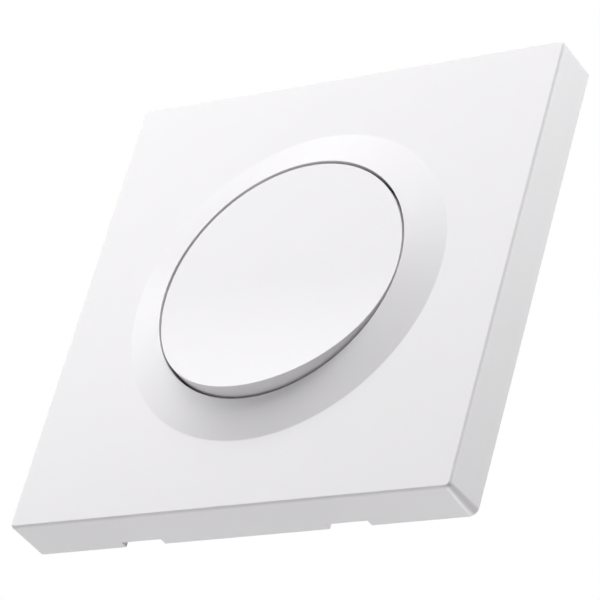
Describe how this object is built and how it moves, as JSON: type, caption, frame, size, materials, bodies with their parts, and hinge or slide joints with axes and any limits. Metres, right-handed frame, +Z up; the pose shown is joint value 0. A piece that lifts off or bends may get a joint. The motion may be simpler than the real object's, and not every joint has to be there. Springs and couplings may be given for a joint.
{
  "type": "light switch",
  "caption": "Flush two-way light switch: square cover plate with a conical collar, round tilting rocker, steel strap and a mechanism with push-in wire terminals.",
  "frame": {"origin": "middle of the plate on the wall plane, midway between the box screws", "axes": "+Z up, +X to the right as seen from the room, +Y into the wall"},
  "size_m": [0.0804, 0.0347, 0.0804],
  "materials": {
    "white_gloss": "satin",
    "white_inner": "matt",
    "housing_grey": "matt",
    "zinc_steel": "satin",
    "spring_steel": "satin",
    "brass": "satin",
    "silver_alloy": "satin",
    "button_orange": "matt"
  },
  "bodies": {
    "mechanism": {"cover_plate": "white_gloss", "support_frame": "zinc_steel", "base_housing": "housing_grey", "housing_cover": "white_inner", "assembly_screws": "zinc_steel", "common_terminal": "brass", "upper_terminal": "brass", "lower_terminal": "brass", "fixed_contact_tips": "silver_alloy", "clamp_spring_common": "spring_steel", "clamp_spring_upper": "spring_steel", "clamp_spring_lower": "spring_steel"},
    "rocker": {"rocker_cap": "white_gloss", "rocker_cradle": "white_inner", "plunger_spring": "spring_steel"},
    "plunger": {"plunger": "white_inner"},
    "contact": {"contact_rocker": "brass", "moving_contact_tips": "silver_alloy"},
    "release_common": {"release_button_common": "button_orange"},
    "release_upper": {"release_button_upper": "button_orange"},
    "release_lower": {"release_button_lower": "button_orange"}
  },
  "joints": [
    {"name": "rocker_tilt", "type": "hinge", "parent": "mechanism", "child": "rocker", "pos_m": [0, -0.00695, 0], "axis": [1, 0, 0], "range_deg": [0, 7]},
    {"name": "contact_flip", "type": "hinge", "parent": "mechanism", "child": "contact", "pos_m": [0, 0.0092, 0], "axis": [1, 0, 0], "range_deg": [-16, 0]},
    {"name": "plunger_slide", "type": "slide", "parent": "rocker", "child": "plunger", "axis": [0, -0.9981, 0.061], "range_m": [0, 0.0008], "stiffness_N_per_m": 600, "springref_m": -0.003, "deforming": ["plunger_spring"]},
    {"name": "release_common_press", "type": "slide", "parent": "mechanism", "child": "release_common", "axis": [0, -1, 0], "range_m": [0, 0.0011], "stiffness_N_per_m": 1500, "springref_m": -0.001, "deforming": ["clamp_spring_common"]},
    {"name": "release_upper_press", "type": "slide", "parent": "mechanism", "child": "release_upper", "axis": [0, -1, 0], "range_m": [0, 0.0011], "stiffness_N_per_m": 1500, "springref_m": -0.001, "deforming": ["clamp_spring_upper"]},
    {"name": "release_lower_press", "type": "slide", "parent": "mechanism", "child": "release_lower", "axis": [0, -1, 0], "range_m": [0, 0.0011], "stiffness_N_per_m": 1500, "springref_m": -0.001, "deforming": ["clamp_spring_lower"]}
  ],
  "couplings": [
    {"joint": "contact_flip", "follows": "rocker_tilt", "ratio": -2.2857}
  ]
}
